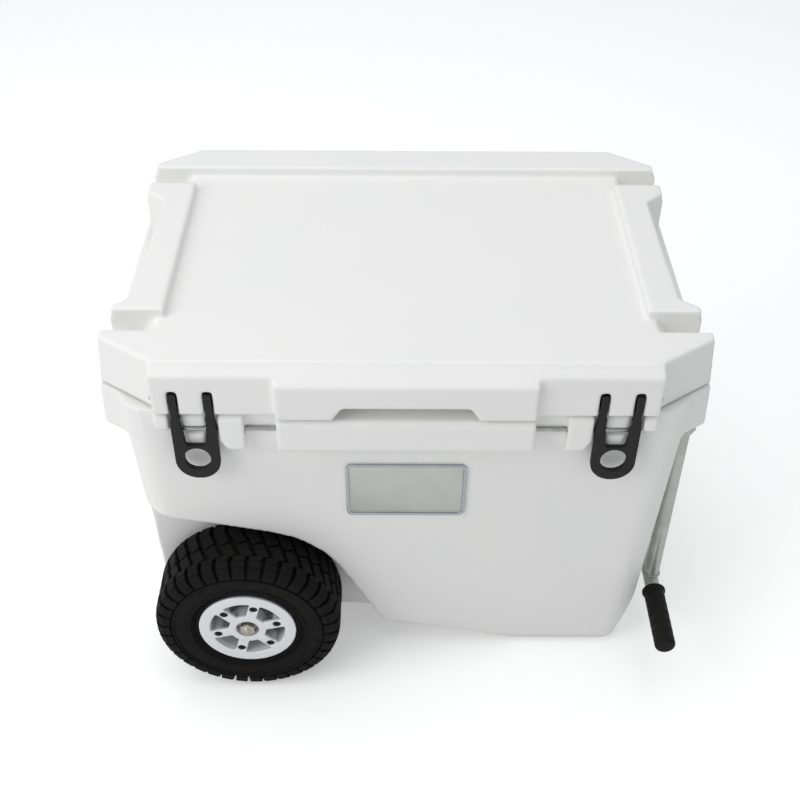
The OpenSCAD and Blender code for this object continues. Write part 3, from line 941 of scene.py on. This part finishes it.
@dataclass
class AxleEnds:
    """The axle's ends: a chamfered hexagon nut on a threaded, domed stud."""

    nut_reach: float = 9.8 * MM
    nut_height: float = 8.0 * MM
    shank: float = 8.0 * MM
    stud: float = 5.0 * MM
    stud_length: float = 12.5 * MM
    threaded: float = 10.5 * MM
    thread_pitch: float = 1.5 * MM

    def build(self) -> None:
        """Model both ends of the axle and its nuts."""
        low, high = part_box("axle")
        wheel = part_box("tyre_rear")
        middle = (wheel[0] + wheel[1]) / 2
        spot = Vector((middle.x, 0, middle.z))
        nut_low, nut_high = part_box("axle_nuts")
        nuts = []
        for side in Side:
            nut = self.nut()
            half_turn = Euler((0, 0, math.pi if side is Side.FRONT else 0))
            face = nut_high.y - self.nut_height
            place(nut, spot + Vector((0, side.outward * face, 0)), half_turn)
            nuts.append(nut)
        finish_piece(join(nuts, "axle_hex_nuts"), ZINC, "tub", ["axle_nuts"])
        finish_piece(self.bar(high.y, spot), ZINC, "tub", ["axle"])

    def nut(self) -> bpy.types.Object:
        """A hexagon nut whose corners are chamfered, along +Y from the origin."""
        reach, height = self.nut_reach, self.nut_height
        deselect_all()
        bpy.ops.mesh.primitive_cylinder_add(
            vertices=6,
            radius=reach,
            depth=height,
            location=(0, height / 2, 0),
            rotation=(math.pi / 2, 0, 0),
        )
        nut = named("nut")
        bpy.ops.object.transform_apply(location=True, rotation=True, scale=True)
        flat, corner, past = 0.84 * reach, 1.03 * reach, 0.01 * MM
        chamfer = (corner - flat) * math.tan(math.radians(30))
        limit = turned(
            "limit",
            [
                (0, -past),
                (flat, -past),
                (corner, chamfer),
                (corner, height - chamfer),
                (flat, height + past),
                (0, height + past),
            ],
            72,
            closed=False,
        )
        apply_modifier(nut, "BOOLEAN", operation="INTERSECT", object=limit, solver="EXACT")
        bpy.data.objects.remove(limit)
        apply_modifier(
            nut, "BEVEL", width=0.2 * MM, segments=2, limit_method="ANGLE", angle_limit=math.radians(25)
        )
        return nut

    def bar(self, reach: float, spot: Vector) -> bpy.types.Object:
        """The axle with a cut thread and a domed point at each end.

        Args:
            reach: The distance from the middle to each end.
            spot: The axle's middle.

        Returns:
            The axle.
        """
        shoulder = reach - self.stud_length
        half = [(self.shank, 0.0), (self.shank, shoulder)]
        turns = int(self.threaded / self.thread_pitch)
        for turn in range(turns):
            start = shoulder + turn * self.thread_pitch
            half.append((self.stud - 0.7 * MM, start + 0.1 * MM))
            half.append((self.stud, start + self.thread_pitch / 2))
        half.append((self.stud - 0.9 * MM, reach - 1.4 * MM))
        half += [(self.stud - 2.6 * MM, reach - 0.4 * MM), (0.0, reach)]
        outline = [(r, -s) for r, s in reversed(half[1:])] + half[1:]
        bar = turned("axle_bar", outline, 48, closed=False)
        place(bar, spot)
        return bar


# ---- Studio ----


@dataclass
class Studio:
    """A pale floor, soft light and the camera."""

    camera_spot: tuple[float, float, float] = (-0.0134, -1.1665, 1.2665)
    pitch_down: float = 40.5
    yaw: float = -0.4
    roll: float = 0.5
    lens: float = 52.43
    sensor: float = 36.0
    floor_size: float = 30.0
    floor_lift: str = "#909090"
    sky_colour: str = "#FAFCFF"
    sky_strength: float = 0.56
    aim: tuple[float, float, float] = (0.0, 0.0, 0.25)

    def build(self) -> None:
        """Set up the camera, the floor and the lights."""
        self.camera()
        self.floor()
        self.sky()
        self.soft_box("overhead", (-0.3, 0.1, 2.6), 2.4, 21.0)
        self.soft_box("window", (-2.2, -1.5, 1.9), 1.8, 29.5)
        view = bpy.context.scene.view_settings
        view.view_transform = "Standard"
        view.look = "None"

    def camera(self) -> None:
        """Add the camera and make it the scene's."""
        deselect_all()
        bpy.ops.object.camera_add(location=self.camera_spot)
        camera = bpy.context.view_layer.objects.active
        turn = (
            Matrix.Rotation(math.radians(self.yaw), 3, "Z")
            @ Matrix.Rotation(math.radians(90 - self.pitch_down), 3, "X")
            @ Matrix.Rotation(math.radians(self.roll), 3, "Z")
        )
        camera.rotation_euler = turn.to_euler()
        camera.data.lens = self.lens
        camera.data.sensor_width = self.sensor
        camera.data.clip_start = 0.05
        bpy.context.scene.camera = camera

    def floor(self) -> None:
        """Add the floor, a pale sheet lifted to white for the camera alone."""
        deselect_all()
        bpy.ops.mesh.primitive_plane_add(size=self.floor_size)
        floor = named("floor")
        pale = Finish("pale_floor", "", "#F6F6F5", "#F4F4F3", (0.85, 0.9), 900, 8, 0.05).material()
        shader = next(node for node in pale.node_tree.nodes if node.type == "BSDF_PRINCIPLED")
        shader.inputs["Emission Color"].default_value = linear(self.floor_lift)
        rays = add_node(pale, "ShaderNodeLightPath")
        pale.node_tree.links.new(rays.outputs["Is Camera Ray"], shader.inputs["Emission Strength"])
        floor.data.materials.append(pale)

    def sky(self) -> None:
        """Light the scene evenly from all round."""
        world = bpy.data.worlds.new("studio")
        world.use_nodes = True
        background = world.node_tree.nodes["Background"]
        background.inputs["Color"].default_value = linear(self.sky_colour)
        background.inputs["Strength"].default_value = self.sky_strength
        bpy.context.scene.world = world

    def soft_box(self, name: str, spot: tuple[float, float, float], size: float, power: float) -> None:
        """Add a square soft light that faces the cooler.

        Args:
            name: The light's name.
            spot: Where it hangs.
            size: The length of its sides.
            power: Its power in watts.
        """
        deselect_all()
        bpy.ops.object.light_add(type="AREA", location=spot)
        light = bpy.context.view_layer.objects.active
        light.name = name
        light.data.energy = power
        light.data.size = size
        aim = Vector(self.aim) - Vector(spot)
        light.rotation_euler = aim.to_track_quat("-Z", "Y").to_euler()


def main() -> None:
    """Build every sub-assembly in order."""
    logging.basicConfig(level=logging.INFO, format="%(name)s: %(message)s")
    Studio().build()
    MouldedShells().build()
    Latches().build()
    Badge().build()
    Fittings().build()
    TowHandle().build()
    AxleEnds().build()
    for side in Side:
        Wheel(side).build()


if __name__ == "__main__":
    main()
